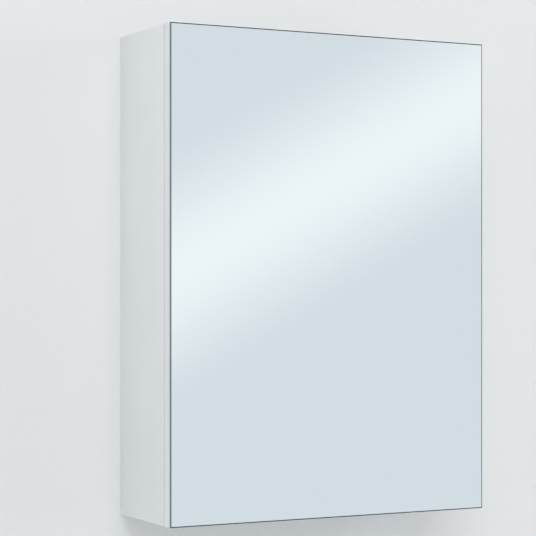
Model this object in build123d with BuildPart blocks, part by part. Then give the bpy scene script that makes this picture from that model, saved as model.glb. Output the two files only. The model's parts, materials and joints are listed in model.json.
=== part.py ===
from build123d import *
import os

os.makedirs("parts", exist_ok=True)

# Bathroom mirror cabinet with one full-overlay mirror door on two concealed hinges.
# Millimetres, +Z up, the front faces -Y. The origin is on the wall, midway between
# the screw holes of the wall rail. A viewer who faces the cabinet has +X on the right.

# Overall size with the door shut
WIDTH = 400.0
HEIGHT = 543.0
DEPTH = 140.0
RAIL_DROP = 62.0  # from the cabinet's top down to the rail's screw holes

# Boards
PANEL = 16.0
BACK = 3.0
BACK_SETBACK = 18.0  # room for the rail between the wall and the back board
GROOVE_DEPTH = 6.0
GROOVE_PLAY = 0.1
GROOVE_END_PLAY = 0.5

# Door
GLASS = 4.0
GLASS_ARRIS = 1.0
CARRIER = 12.0
DOOR_GAP = 1.5
CARRIER_EDGE = 0.6

# Corner joints: two dowels with a cam connector between them
JOINT_PITCH = 32.0
CAM_Y = -66.0
DOWEL_R = 4.0
DOWEL_IN_SIDE = 11.0
DOWEL_IN_SHELF = 18.0
DOWEL_CHAMFER = 0.8
HOLE_END_PLAY = 0.5
SNUG = 0.05
CAM_R = 7.4
CAM_HEIGHT = 11.5
CAM_SETBACK = 34.0
CAM_HOLE_PLAY = 0.1
CAM_COVER_R = 8.75
CAM_COVER = 1.0
CAM_COVER_PLUG = 1.0
CAM_BOLT_THREAD_R = 2.5
CAM_BOLT_IN_SIDE = 10.5
CAM_BOLT_SHANK_R = 3.0
CAM_BOLT_HEAD_R = 3.7
CAM_BOLT_HEAD = 3.0
CAM_POCKET_PLAY = 0.4
CAM_RECESS = 1.2

# Shelves and their pins
SHELVES = 2
SHELF = 5.0
SHELF_RISE = 168.0
SHELF_SIDE_PLAY = 1.5
SHELF_BACK_PLAY = 2.0
SHELF_FRONT_PLAY = 9.5
SHELF_ARRIS = 0.5
SHELF_CORNER = 4.0
HOLE_PITCH = 32.0
SHELF_HOLE_DEPTH = 10.0
SHELF_PIN_R = 2.45
SHELF_PIN_IN_SIDE = 9.5
FRONT_ROW = 37.0  # from the panels' front edge
REAR_ROW = 22.0  # from the front of the back board
PIN_COLLAR_R = 4.0
PIN_COLLAR = 1.2
PIN_NOSE_R = 2.6
PIN_NOSE = 8.0
SLEEVE_R = 4.0
SEAT = 0.1

# Wall rail and hangers
RAIL_SHEET = 2.0
RAIL_END_PLAY = 4.0
RAIL_WEB_BELOW = 16.0
RAIL_STEP_Z = 20.0
RAIL_STAND_OFF = 9.0
RAIL_LIP_TOP = 29.0
RAIL_SCREW_SPACING = 280.0
RAIL_SCREW_R = 3.25
HANGER_WIDTH = 18.0
HANGER_DEPTH = 40.0
HANGER_HEIGHT = 56.0
HANGER_TOP_PLAY = 4.0
HANGER_WALL = 4.0
HANGER_EDGE = 2.0
HANGER_PEG_R = 5.0
HANGER_PEG = 9.5
HANGER_PEG_SPACING = 32.0
HOOK_SHEET = 3.0
HOOK_ARM = 6.0
HOOK_FINGER = 3.4
HOOK_FINGER_LENGTH = 9.0
HOOK_SHANK = 24.0
HOOK_PLAY = 0.3
HOOK_ROUND = 2.0
WINDOW_WIDTH = 14.0
WINDOW_HEIGHT = 30.0
ADJUSTER_R = 2.5
ADJUSTER_HEAD_R = 3.5
ADJUSTER_HEAD = 2.4
ADJUSTER_SPACING = 12.0
HANGER_COVER_WALL = 1.6
COVER_PLAY = 0.3

# Hinge places and the four pivots, seen from above in the hinge's own plane.
# The first number runs inwards from the side panel's inner face, the second forwards
# from the panels' front edge. The outer link turns on A and C, the inner link on B and D.
HINGE_INSET = 95.0
PIVOT_A = (17.66, -6.8)
PIVOT_B = (20.0, 8.9)
PIVOT_C = (-5.04, 5.92)
PIVOT_D = (1.94, 6.48)
D_TRAVEL = (2.6, 2.55)  # how far pin D wanders in the cup while the door opens
PIN_R = 1.25
RUNNING = 0.05
PRESS_PLAY = 0.02
LINK_R = 2.3
LINK_BOW = (3.6, 7.7)  # the outer link bends here, to clear the door's edge when open
LINK_BOW_R = 1.6
OUTER_LINK_HALF = 3.2
LINK_HUB_HALF = 5.4
FORK_INNER_HALF = 3.6
FORK_HALF = 5.4
BRIDGE = 1.0
BRIDGE_START = 3.0
BRIDGE_LENGTH = 7.0
ARM_INNER_HALF = 5.8
ARM_HALF = 7.2
ARM_SHEET = 1.3
ARM_BACK = -66.0
ARM_FOOT = 4.0
ARM_TOP = 19.5
ARM_NOSE_TOP = 24.0
ARM_NOSE_R = 2.6
EAR_START = 7.7
PIN_C_HALF = 10.0
PIN_D_HALF = 9.6
PIN_POCKET = 0.35

# Hinge cup
CUP_R = 20.0
CUP_EDGE = 4.0  # from the door's edge to the cup's bore
CUP_DEPTH = 11.3
CUP_WALL = 1.0
CUP_FLOOR = 0.8
CUP_FLANGE = 0.9
CUP_FLANGE_OVER = 1.0
CUP_EAR_END = 7.0
CUP_BORE_PLAY = 0.1
CUP_SCREW_OFFSET = 9.5
CUP_SCREW_SPACING = 52.0
CUP_SCREW_BOSS_R = 5.5
CUP_SCREW_R = 1.75
CUP_SCREW_HEAD_R = 3.4
CUP_SCREW_LENGTH = 10.5
CUP_SCREW_HEAD = 0.5

# Mounting plate and the arm's screws
PLATE_SCREW_SPACING = 32.0
PLATE_WING = 3.0
PLATE_WING_WIDTH = 15.0
PLATE_WING_HEIGHT = 54.0
PLATE_WING_CORNER = 5.0
PLATE_RIB = 8.5
PLATE_RIB_HALF = 5.3
PLATE_RIB_FRONT = -18.0
PLATE_SCREW_R = 2.9
PLATE_SCREW_HEAD_R = 4.4
PLATE_SCREW_TAPER = 45.0
PLATE_SCREW_LENGTH = 12.0
ARM_SCREW_R = 2.0
ARM_SCREW_HEAD_R = 4.0
ARM_SCREW_HEAD = 2.0
FIXING_SCREW_V = -54.0
SIDE_SCREW_V = -36.0
ARM_SCREW_IN_RIB = 5.5
RECESS_WIDTH = 1.1
RECESS_DEPTH = 1.0
CAP_WALL = 1.2
CAP_ROOM = 2.6
CAP_SKIRT = 7.0
CAP_FRONT = -27.0
SPRING_SHEET = 0.8
SPRING_HALF = 4.8
SPRING_BACK = -25.0
SPRING_BEND = -15.0

# Door buffers
BUFFER_R = 5.0
BUFFER = 1.2
BUFFER_EDGE = 0.4
BUFFER_INSET = 8.0
BUFFER_FROM_END = 30.0

# Places that follow from the sizes
INNER = WIDTH / 2 - PANEL
CARCASS = DEPTH - GLASS - CARRIER - DOOR_GAP
TOP = RAIL_DROP
BOTTOM = TOP - HEIGHT
CEILING = TOP - PANEL
FLOOR = BOTTOM + PANEL
MIDDLE = (TOP + BOTTOM) / 2
BACK_FRONT = -(BACK_SETBACK + BACK)
RAIL_LENGTH = 2 * (INNER - RAIL_END_PLAY)
SHELF_DEPTH = CARCASS + BACK_FRONT - SHELF_BACK_PLAY - SHELF_FRONT_PLAY
FRONT_ROW_Y = -(CARCASS - FRONT_ROW)
REAR_ROW_Y = BACK_FRONT - REAR_ROW
CARRIER_Y = -(CARCASS + DOOR_GAP)
GLASS_Y = CARRIER_Y - CARRIER
HINGES = (("upper", TOP - HINGE_INSET), ("lower", BOTTOM + HINGE_INSET))
SIDES = (("left", -1), ("right", 1))
PIN_HEIGHTS = [FLOOR + (shelf + 1) * SHELF_RISE for shelf in range(SHELVES)]
SHELF_HOLES = [
    (y, height + row * HOLE_PITCH)
    for y in (FRONT_ROW_Y, REAR_ROW_Y)
    for height in PIN_HEIGHTS
    for row in (-1, 0, 1)
]
JOINT_HEIGHTS = (TOP - PANEL / 2, BOTTOM + PANEL / 2)
DOWEL_YS = (CAM_Y - JOINT_PITCH, CAM_Y + JOINT_PITCH)
CAM_PLACES = [(side * (INNER - CAM_SETBACK), CAM_Y) for _, side in SIDES]
PLATE_SCREWS = [
    (FRONT_ROW_Y, z + end * PLATE_SCREW_SPACING / 2) for _, z in HINGES for end in (-1, 1)
]
HANGER_TOP = CEILING - HANGER_TOP_PLAY
HANGER_MIDDLE = HANGER_TOP - HANGER_HEIGHT / 2
HANGER_BACK = BACK_FRONT - COVER_PLAY
HANGER_FRONT = HANGER_BACK - HANGER_DEPTH
HANGER_PEGS = [
    ((HANGER_BACK + HANGER_FRONT) / 2, HANGER_MIDDLE + end * HANGER_PEG_SPACING / 2)
    for end in (-1, 1)
]
CUP_U = CUP_EDGE + CUP_R - PANEL
CUP_SCREW_PLACES = [(CUP_U + CUP_SCREW_OFFSET, end * CUP_SCREW_SPACING / 2) for end in (-1, 1)]


def hinge_plane(z):
    """Level plane of a hinge: x runs inwards from the side panel, y forwards."""
    return Plane(origin=(INNER, -CARCASS, z), x_dir=(-1, 0, 0), z_dir=(0, 0, 1))


def wing_plane(z):
    """Side panel's inner face at a hinge: x runs forwards, y up, z inwards."""
    return Plane(origin=(INNER, -CARCASS, z), x_dir=(0, -1, 0), z_dir=(-1, 0, 0))


def door_plane(z):
    """Door's rear face at a hinge: x runs inwards, z forwards into the door."""
    return Plane(origin=(INNER, CARRIER_Y, z), x_dir=(-1, 0, 0), z_dir=(0, -1, 0))


def save(piece, name):
    """Label a finished piece and write it under its own name."""
    piece.part.label = name
    export_step(piece.part, f"parts/{name}.step")


# Side panels, drilled alike so that the door can be hung on either side
for name, side in SIDES:
    with BuildPart() as side_panel:
        with BuildSketch(Plane.YZ.offset(side * INNER)):
            with Locations((-CARCASS / 2, MIDDLE)):
                Rectangle(CARCASS, HEIGHT)
        extrude(amount=side * PANEL)
        with BuildSketch(Plane.YZ.offset(side * INNER)):
            with Locations((BACK_FRONT + BACK / 2, MIDDLE)):
                Rectangle(BACK + 2 * GROOVE_PLAY, HEIGHT)
        extrude(amount=side * GROOVE_DEPTH, mode=Mode.SUBTRACT)
        with BuildSketch(Plane.YZ.offset(side * INNER)):
            with Locations(*[(y, z) for y in DOWEL_YS for z in JOINT_HEIGHTS]):
                Circle(DOWEL_R + SNUG)
        extrude(amount=side * (DOWEL_IN_SIDE + HOLE_END_PLAY), mode=Mode.SUBTRACT)
        with BuildSketch(Plane.YZ.offset(side * INNER)):
            with Locations(*[(CAM_Y, z) for z in JOINT_HEIGHTS]):
                Circle(CAM_BOLT_THREAD_R + SNUG)
        extrude(amount=side * (CAM_BOLT_IN_SIDE + HOLE_END_PLAY), mode=Mode.SUBTRACT)
        with BuildSketch(Plane.YZ.offset(side * INNER)):
            with Locations(*SHELF_HOLES):
                Circle(SHELF_PIN_R + SNUG)
        extrude(amount=side * SHELF_HOLE_DEPTH, mode=Mode.SUBTRACT)
        with BuildSketch(Plane.YZ.offset(side * INNER)):
            with Locations(*PLATE_SCREWS):
                Circle(PLATE_SCREW_R + SNUG)
        extrude(amount=side * (PLATE_SCREW_LENGTH + HOLE_END_PLAY), mode=Mode.SUBTRACT)
        with BuildSketch(Plane.YZ.offset(side * INNER)):
            with Locations(*HANGER_PEGS):
                Circle(HANGER_PEG_R + SNUG)
        extrude(amount=side * (HANGER_PEG + HOLE_END_PLAY), mode=Mode.SUBTRACT)
    save(side_panel, f"side_panel_{name}")

# Top and bottom panels between the sides
for name, inner, outward in (("top_panel", CEILING, 1), ("bottom_panel", FLOOR, -1)):
    with BuildPart() as flat_panel:
        with BuildSketch(Plane.XY.offset(inner)):
            with Locations((0, -CARCASS / 2)):
                Rectangle(2 * INNER, CARCASS)
        extrude(amount=outward * PANEL)
        with BuildSketch(Plane.XY.offset(inner)):
            with Locations((0, BACK_FRONT + BACK / 2)):
                Rectangle(2 * INNER, BACK + 2 * GROOVE_PLAY)
        extrude(amount=outward * GROOVE_DEPTH, mode=Mode.SUBTRACT)
        with BuildSketch(Plane.XY.offset(inner)):
            with Locations(*CAM_PLACES):
                Circle(CAM_R + CAM_HOLE_PLAY)
        extrude(
            amount=outward * (CAM_COVER_PLUG + CAM_HEIGHT + 2 * CAM_HOLE_PLAY),
            mode=Mode.SUBTRACT,
        )
        for _, side in SIDES:
            with BuildSketch(Plane.YZ.offset(side * INNER)):
                with Locations(*[(y, inner + outward * PANEL / 2) for y in DOWEL_YS]):
                    Circle(DOWEL_R + SNUG)
            extrude(amount=-side * (DOWEL_IN_SHELF + HOLE_END_PLAY), mode=Mode.SUBTRACT)
            with BuildSketch(Plane.YZ.offset(side * INNER)):
                with Locations((CAM_Y, inner + outward * PANEL / 2)):
                    Circle(CAM_BOLT_HEAD_R + CAM_POCKET_PLAY)
            extrude(amount=-side * CAM_SETBACK, mode=Mode.SUBTRACT)
    save(flat_panel, name)

# Back board in the grooves, with a window for each hanger hook
HOOK_X = INNER - HANGER_WIDTH / 2
HOOK_BOTTOM = RAIL_LIP_TOP + HOOK_PLAY
HOOK_TOP = HOOK_BOTTOM + HOOK_ARM
with BuildPart() as back_panel:
    with BuildSketch(Plane.XZ.offset(BACK_SETBACK)):
        with Locations((0, MIDDLE)):
            Rectangle(
                2 * (INNER + GROOVE_DEPTH - GROOVE_END_PLAY),
                CEILING - FLOOR + 2 * (GROOVE_DEPTH - GROOVE_END_PLAY),
            )
        with Locations(*[(side * HOOK_X, HOOK_TOP - HOOK_ARM / 2) for _, side in SIDES]):
            Rectangle(WINDOW_WIDTH, WINDOW_HEIGHT, mode=Mode.SUBTRACT)
    extrude(amount=BACK)
save(back_panel, "back_panel")

# Wooden dowels
with BuildPart() as dowels:
    for _, side in SIDES:
        with BuildSketch(Plane.YZ.offset(side * (INNER + DOWEL_IN_SIDE))):
            with Locations(*[(y, z) for y in DOWEL_YS for z in JOINT_HEIGHTS]):
                Circle(DOWEL_R)
        extrude(amount=-side * (DOWEL_IN_SIDE + DOWEL_IN_SHELF))
    chamfer(dowels.edges().filter_by(GeomType.CIRCLE), DOWEL_CHAMFER)
save(dowels, "dowels")

# Cam bolts: thread in the side panel, head caught by the cam
with BuildPart() as cam_bolts:
    for _, side in SIDES:
        with BuildSketch(Plane.YZ.offset(side * (INNER + CAM_BOLT_IN_SIDE))):
            with Locations(*[(CAM_Y, z) for z in JOINT_HEIGHTS]):
                Circle(CAM_BOLT_THREAD_R)
        extrude(amount=-side * (CAM_BOLT_IN_SIDE + CAM_SETBACK - CAM_BOLT_HEAD))
        with BuildSketch(Plane.YZ.offset(side * INNER)):
            with Locations(*[(CAM_Y, z) for z in JOINT_HEIGHTS]):
                Circle(CAM_BOLT_SHANK_R)
        extrude(amount=-side * CAM_SETBACK / 2)
        with BuildSketch(Plane.YZ.offset(side * (INNER - CAM_SETBACK + CAM_BOLT_HEAD))):
            with Locations(*[(CAM_Y, z) for z in JOINT_HEIGHTS]):
                Circle(CAM_BOLT_HEAD_R)
        extrude(amount=-side * CAM_BOLT_HEAD)
save(cam_bolts, "cam_bolts")

# Cam locks, cross-recessed and pierced for the bolts' heads
with BuildPart() as cam_locks:
    for inner, outward in ((CEILING, 1), (FLOOR, -1)):
        cam_face = inner + outward * (CAM_COVER_PLUG + CAM_HOLE_PLAY)
        with BuildSketch(Plane.XY.offset(cam_face)):
            with Locations(*CAM_PLACES):
                Circle(CAM_R)
        extrude(amount=outward * CAM_HEIGHT)
        with BuildSketch(Plane.XY.offset(cam_face)):
            with Locations(*CAM_PLACES):
                Rectangle(CAM_R, CAM_RECESS)
                Rectangle(CAM_RECESS, CAM_R)
        extrude(amount=outward * CAM_RECESS, mode=Mode.SUBTRACT)
        for _, side in SIDES:
            with BuildSketch(Plane.YZ.offset(side * INNER)):
                with Locations((CAM_Y, inner + outward * PANEL / 2)):
                    Circle(CAM_BOLT_HEAD_R + CAM_POCKET_PLAY)
            extrude(amount=-side * (CAM_SETBACK + CAM_POCKET_PLAY), mode=Mode.SUBTRACT)
save(cam_locks, "cam_locks")

# Caps that hide the cam locks: a thin disc with a plug in the cam's hole
with BuildPart() as cam_covers:
    for inner, outward in ((CEILING, 1), (FLOOR, -1)):
        with BuildSketch(Plane.XY.offset(inner)):
            with Locations(*CAM_PLACES):
                Circle(CAM_R - CAM_HOLE_PLAY)
        extrude(amount=outward * CAM_COVER_PLUG)
        with BuildSketch(Plane.XY.offset(inner)):
            with Locations(*CAM_PLACES):
                Circle(CAM_COVER_R)
        extrude(amount=-outward * CAM_COVER)
save(cam_covers, "cam_covers")

# Glass shelves with rounded corners and ground edges
for name, pin_height in zip(("lower", "upper"), PIN_HEIGHTS):
    with BuildPart() as shelf:
        with BuildSketch(Plane.XY.offset(pin_height + SLEEVE_R + SEAT)):
            with Locations((0, BACK_FRONT - SHELF_BACK_PLAY - SHELF_DEPTH / 2)):
                RectangleRounded(2 * (INNER - SHELF_SIDE_PLAY), SHELF_DEPTH, SHELF_CORNER)
        extrude(amount=SHELF)
        chamfer(shelf.edges().group_by(Axis.Z)[0], SHELF_ARRIS)
        chamfer(shelf.edges().group_by(Axis.Z)[-1], SHELF_ARRIS)
    save(shelf, f"shelf_{name}")

# Shelf pins and the clear sleeves that the glass rests on
PIN_PLACES = [(y, height) for y in (FRONT_ROW_Y, REAR_ROW_Y) for height in PIN_HEIGHTS]
with BuildPart() as shelf_pins:
    for _, side in SIDES:
        for start, length, radius in (
            (INNER, -SHELF_PIN_IN_SIDE, SHELF_PIN_R),
            (INNER, PIN_COLLAR, PIN_COLLAR_R),
            (INNER - PIN_COLLAR, PIN_NOSE, PIN_NOSE_R),
        ):
            with BuildSketch(Plane.YZ.offset(side * start)):
                with Locations(*PIN_PLACES):
                    Circle(radius)
            extrude(amount=-side * length)
save(shelf_pins, "shelf_pins")

with BuildPart() as shelf_sleeves:
    for _, side in SIDES:
        with BuildSketch(Plane.YZ.offset(side * (INNER - PIN_COLLAR))):
            with Locations(*PIN_PLACES):
                Circle(SLEEVE_R)
                Circle(PIN_NOSE_R + SNUG, mode=Mode.SUBTRACT)
        extrude(amount=-side * PIN_NOSE)
save(shelf_sleeves, "shelf_pin_sleeves")

# Wall rail: a folded strip whose lip stands off the wall
with BuildPart() as wall_rail:
    with BuildSketch(Plane.YZ.offset(-RAIL_LENGTH / 2)):
        with BuildLine():
            Polyline(
                (0, -RAIL_WEB_BELOW),
                (0, RAIL_STEP_Z),
                (-(RAIL_STAND_OFF - RAIL_SHEET), RAIL_STEP_Z),
                (-(RAIL_STAND_OFF - RAIL_SHEET), RAIL_LIP_TOP),
                (-RAIL_STAND_OFF, RAIL_LIP_TOP),
                (-RAIL_STAND_OFF, RAIL_STEP_Z - RAIL_SHEET),
                (-RAIL_SHEET, RAIL_STEP_Z - RAIL_SHEET),
                (-RAIL_SHEET, -RAIL_WEB_BELOW),
                close=True,
            )
        make_face()
    extrude(amount=RAIL_LENGTH)
    with BuildSketch(Plane.XZ):
        with GridLocations(RAIL_SCREW_SPACING, 1, 2, 1):
            Circle(RAIL_SCREW_R)
    extrude(amount=RAIL_SHEET, mode=Mode.SUBTRACT)
save(wall_rail, "wall_rail")

# Hangers: a housing pegged to the side panel, a hook over the rail, a cap over both screws
HOOK_FRONT = BACK_FRONT - HOOK_SHANK
FINGER_BACK = -(RAIL_STAND_OFF - RAIL_SHEET - 2 * HOOK_PLAY - HOOK_FINGER)
ADJUSTERS = [HOOK_BOTTOM - ADJUSTER_SPACING / 2 + end * ADJUSTER_SPACING for end in (-1, 0)]
for name, side in SIDES:
    outer_x = side * INNER
    with BuildPart() as hanger_housing:
        with BuildSketch(Plane.YZ.offset(outer_x)):
            with Locations(((HANGER_BACK + HANGER_FRONT) / 2, HANGER_MIDDLE)):
                RectangleRounded(HANGER_DEPTH, HANGER_HEIGHT, HANGER_EDGE)
        extrude(amount=-side * HANGER_WIDTH)
        with BuildSketch(Plane.YZ.offset(side * HOOK_X)):
            with Locations(((HANGER_BACK + HANGER_FRONT + HANGER_WALL) / 2, HANGER_MIDDLE)):
                Rectangle(HANGER_DEPTH - HANGER_WALL, HANGER_HEIGHT - 2 * HANGER_WALL)
        extrude(amount=HANGER_WIDTH / 2 - HANGER_WALL, both=True, mode=Mode.SUBTRACT)
        with BuildSketch(Plane.YZ.offset(outer_x)):
            with Locations(*HANGER_PEGS):
                Circle(HANGER_PEG_R)
        extrude(amount=side * HANGER_PEG)
        with BuildSketch(Plane.XZ.offset(-HANGER_FRONT)):
            with Locations(*[(side * HOOK_X, z) for z in ADJUSTERS]):
                Circle(ADJUSTER_R + SNUG)
        extrude(amount=-HANGER_WALL, mode=Mode.SUBTRACT)
    save(hanger_housing, f"hanger_housing_{name}")

    with BuildPart() as hanger_hook:
        with BuildSketch(Plane.YZ.offset(side * HOOK_X)):
            with BuildLine():
                Polyline(
                    (HOOK_FRONT, HOOK_TOP),
                    (FINGER_BACK, HOOK_TOP),
                    (FINGER_BACK, HOOK_BOTTOM - HOOK_FINGER_LENGTH),
                    (FINGER_BACK - HOOK_FINGER, HOOK_BOTTOM - HOOK_FINGER_LENGTH),
                    (FINGER_BACK - HOOK_FINGER, HOOK_BOTTOM),
                    (HANGER_BACK - HOOK_ARM, HOOK_BOTTOM),
                    (HANGER_BACK - HOOK_ARM, HOOK_BOTTOM - HOOK_SHANK),
                    (HOOK_FRONT, HOOK_BOTTOM - HOOK_SHANK),
                    close=True,
                )
            make_face()
        extrude(amount=HOOK_SHEET / 2, both=True)
        fillet(
            hanger_hook.edges().filter_by(Axis.X).group_by(Axis.Z)[-1],
            HOOK_ROUND,
        )
    save(hanger_hook, f"hanger_hook_{name}")

    with BuildPart() as hanger_cover:
        cover_wall = HANGER_COVER_WALL + COVER_PLAY
        cover_depth = HANGER_DEPTH + ADJUSTER_HEAD + COVER_PLAY + cover_wall - HANGER_WALL
        with BuildSketch(Plane.YZ.offset(side * (INNER - COVER_PLAY))):
            with Locations((HANGER_BACK - HANGER_WALL - cover_depth / 2, HANGER_MIDDLE)):
                Rectangle(cover_depth, HANGER_HEIGHT + 2 * cover_wall)
        extrude(amount=-side * (HANGER_WIDTH + HANGER_COVER_WALL))
        fillet(hanger_cover.faces().sort_by(Axis.X)[0 if side > 0 else -1].edges(), HANGER_EDGE)
        with BuildSketch(Plane.YZ.offset(side * INNER)):
            with Locations((HANGER_BACK - (cover_depth - HANGER_COVER_WALL) / 2, HANGER_MIDDLE)):
                Rectangle(
                    cover_depth - HANGER_COVER_WALL + 2 * HANGER_WALL,
                    HANGER_HEIGHT + 2 * COVER_PLAY,
                )
        extrude(amount=-side * (HANGER_WIDTH + COVER_PLAY), mode=Mode.SUBTRACT)
    save(hanger_cover, f"hanger_cover_{name}")

for name, z in zip(("hanger_depth_screws", "hanger_height_screws"), ADJUSTERS):
    with BuildPart() as adjuster:
        for start, length, radius in (
            (HANGER_FRONT, -(HOOK_FRONT - HANGER_FRONT - COVER_PLAY), ADJUSTER_R),
            (HANGER_FRONT, ADJUSTER_HEAD, ADJUSTER_HEAD_R),
        ):
            with BuildSketch(Plane.XZ.offset(-start)):
                with Locations(*[(side * HOOK_X, z) for _, side in SIDES]):
                    Circle(radius)
            extrude(amount=length)
        with BuildSketch(Plane.XZ.offset(ADJUSTER_HEAD - HANGER_FRONT)):
            with Locations(*[(side * HOOK_X, z) for _, side in SIDES]):
                Rectangle(ADJUSTER_HEAD_R, RECESS_WIDTH)
                Rectangle(RECESS_WIDTH, ADJUSTER_HEAD_R)
        extrude(amount=-RECESS_DEPTH, mode=Mode.SUBTRACT)
    save(adjuster, name)

# Mirror: one pane over the whole front, with a ground arris all round
with BuildPart() as mirror_glass:
    with BuildSketch(Plane.XZ.offset(-GLASS_Y)):
        with Locations((0, MIDDLE)):
            Rectangle(WIDTH, HEIGHT)
    extrude(amount=GLASS)
    chamfer(mirror_glass.faces().sort_by(Axis.Y)[0].edges(), GLASS_ARRIS)
save(mirror_glass, "mirror_glass")

# Carrier board behind the mirror, bored for the hinge cups and their screws
with BuildPart() as door_carrier:
    with BuildSketch(Plane.XZ.offset(-CARRIER_Y)):
        with Locations((0, MIDDLE)):
            Rectangle(WIDTH, HEIGHT)
    extrude(amount=CARRIER)
    chamfer(door_carrier.faces().sort_by(Axis.Y)[-1].edges(), CARRIER_EDGE)
    for _, z in HINGES:
        with BuildSketch(door_plane(z)):
            with Locations((CUP_U, 0)):
                Circle(CUP_R + CUP_BORE_PLAY)
        extrude(amount=CUP_DEPTH + CUP_BORE_PLAY, mode=Mode.SUBTRACT)
        with BuildSketch(door_plane(z)):
            with Locations(*CUP_SCREW_PLACES):
                Circle(CUP_SCREW_R + SNUG)
        extrude(amount=CUP_SCREW_LENGTH + HOLE_END_PLAY, mode=Mode.SUBTRACT)
save(door_carrier, "door_carrier")

# Clear buffers on the door's free side
with BuildPart() as buffers:
    with BuildSketch(Plane.XZ.offset(-CARRIER_Y)):
        with Locations(
            (-(WIDTH / 2 - BUFFER_INSET), TOP - BUFFER_FROM_END),
            (-(WIDTH / 2 - BUFFER_INSET), BOTTOM + BUFFER_FROM_END),
        ):
            Circle(BUFFER_R)
    extrude(amount=-BUFFER)
    chamfer(buffers.faces().sort_by(Axis.Y)[-2:].edges(), BUFFER_EDGE)
save(buffers, "door_buffers")

# Concealed hinges: plate and arm on the side panel, cup in the door, two links between
WEB_BEND = ARM_TOP - ARM_SHEET
for name, z in HINGES:
    level = hinge_plane(z)
    wing = wing_plane(z)
    rear_face = door_plane(z)

    with BuildPart(wing) as mounting_plate:
        with BuildSketch(wing):
            with Locations((-FRONT_ROW, 0)):
                RectangleRounded(PLATE_WING_WIDTH, PLATE_WING_HEIGHT, PLATE_WING_CORNER)
        extrude(amount=PLATE_WING)
        with BuildSketch(wing):
            with Locations(((ARM_BACK + PLATE_RIB_FRONT) / 2, 0)):
                Rectangle(PLATE_RIB_FRONT - ARM_BACK, 2 * PLATE_RIB_HALF)
        extrude(amount=PLATE_RIB)
        with Locations(
            *[(-FRONT_ROW, end * PLATE_SCREW_SPACING / 2, PLATE_WING) for end in (-1, 1)]
        ):
            CounterSinkHole(
                PLATE_SCREW_R + SNUG,
                PLATE_SCREW_HEAD_R + SNUG,
                counter_sink_angle=2 * PLATE_SCREW_TAPER,
            )
        with Locations((FIXING_SCREW_V, 0, PLATE_RIB)):
            Hole(ARM_SCREW_R + SNUG, ARM_SCREW_IN_RIB + HOLE_END_PLAY)
    save(mounting_plate, f"{name}_mounting_plate")

    with BuildPart() as hinge_arm:
        with BuildSketch(level):
            with BuildLine():
                Polyline(
                    (ARM_FOOT, ARM_BACK),
                    (ARM_TOP, ARM_BACK),
                    (ARM_TOP, PLATE_RIB_FRONT),
                    (ARM_NOSE_TOP, PIVOT_A[1]),
                    (ARM_NOSE_TOP, PIVOT_B[1]),
                    (PIVOT_B[0], PIVOT_B[1] + ARM_NOSE_R),
                    (PIVOT_B[0] - ARM_NOSE_R, PIVOT_B[1]),
                    (PIVOT_A[0] - ARM_NOSE_R, PIVOT_A[1]),
                    (PIVOT_A[0] - 2 * ARM_NOSE_R, PIVOT_A[1] - ARM_NOSE_R),
                    (ARM_FOOT, PLATE_RIB_FRONT),
                    close=True,
                )
            make_face()
        extrude(amount=ARM_HALF, both=True)
        with BuildSketch(level):
            with BuildLine():
                Polyline(
                    (0, ARM_BACK - ARM_SHEET),
                    (WEB_BEND, ARM_BACK - ARM_SHEET),
                    (WEB_BEND, PLATE_RIB_FRONT),
                    (ARM_NOSE_TOP - ARM_SHEET, PIVOT_A[1]),
                    (ARM_NOSE_TOP - ARM_SHEET, PIVOT_B[1] + 2 * ARM_NOSE_R),
                    (0, PIVOT_B[1] + 2 * ARM_NOSE_R),
                    close=True,
                )
            make_face()
        extrude(amount=ARM_INNER_HALF, both=True, mode=Mode.SUBTRACT)
        with BuildSketch(level):
            with Locations(PIVOT_A, PIVOT_B):
                Circle(PIN_R + PRESS_PLAY)
        extrude(amount=ARM_HALF, both=True, mode=Mode.SUBTRACT)
        with BuildSketch(wing.offset(ARM_TOP)):
            with Locations((FIXING_SCREW_V, 0), (SIDE_SCREW_V, 0)):
                Circle(ARM_SCREW_R + SNUG)
        extrude(amount=-2 * ARM_SHEET, mode=Mode.SUBTRACT)
    save(hinge_arm, f"{name}_hinge_arm")

    with BuildPart() as cover_cap:
        with BuildSketch(wing.offset(ARM_TOP - CAP_SKIRT)):
            with Locations(((ARM_BACK + CAP_FRONT) / 2, 0)):
                Rectangle(
                    CAP_FRONT - ARM_BACK + 2 * (CAP_WALL + COVER_PLAY),
                    2 * (ARM_HALF + CAP_WALL + COVER_PLAY),
                )
        extrude(amount=CAP_SKIRT + CAP_ROOM + CAP_WALL)
        fillet(cover_cap.faces().sort_by(Axis.X)[0].edges(), CAP_WALL)
        with BuildSketch(wing.offset(ARM_TOP - CAP_SKIRT)):
            with Locations(((ARM_BACK + CAP_FRONT) / 2 + CAP_WALL, 0)):
                Rectangle(
                    CAP_FRONT - ARM_BACK + 2 * (CAP_WALL + COVER_PLAY),
                    2 * (ARM_HALF + COVER_PLAY),
                )
        extrude(amount=CAP_SKIRT + CAP_ROOM, mode=Mode.SUBTRACT)
    save(cover_cap, f"{name}_cover_cap")

    with BuildPart() as hinge_spring:
        with BuildSketch(level):
            with BuildLine():
                Polyline(
                    (WEB_BEND - SEAT, SPRING_BACK),
                    (WEB_BEND - SEAT, SPRING_BEND),
                    (PIVOT_A[0], PIVOT_A[1] - LINK_R - PIN_POCKET),
                    (PIVOT_A[0] - SPRING_SHEET, PIVOT_A[1] - LINK_R - PIN_POCKET),
                    (WEB_BEND - SEAT - SPRING_SHEET, SPRING_BEND),
                    (WEB_BEND - SEAT - SPRING_SHEET, SPRING_BACK),
                    close=True,
                )
            make_face()
        extrude(amount=SPRING_HALF, both=True)
    save(hinge_spring, f"{name}_hinge_spring")

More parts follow.
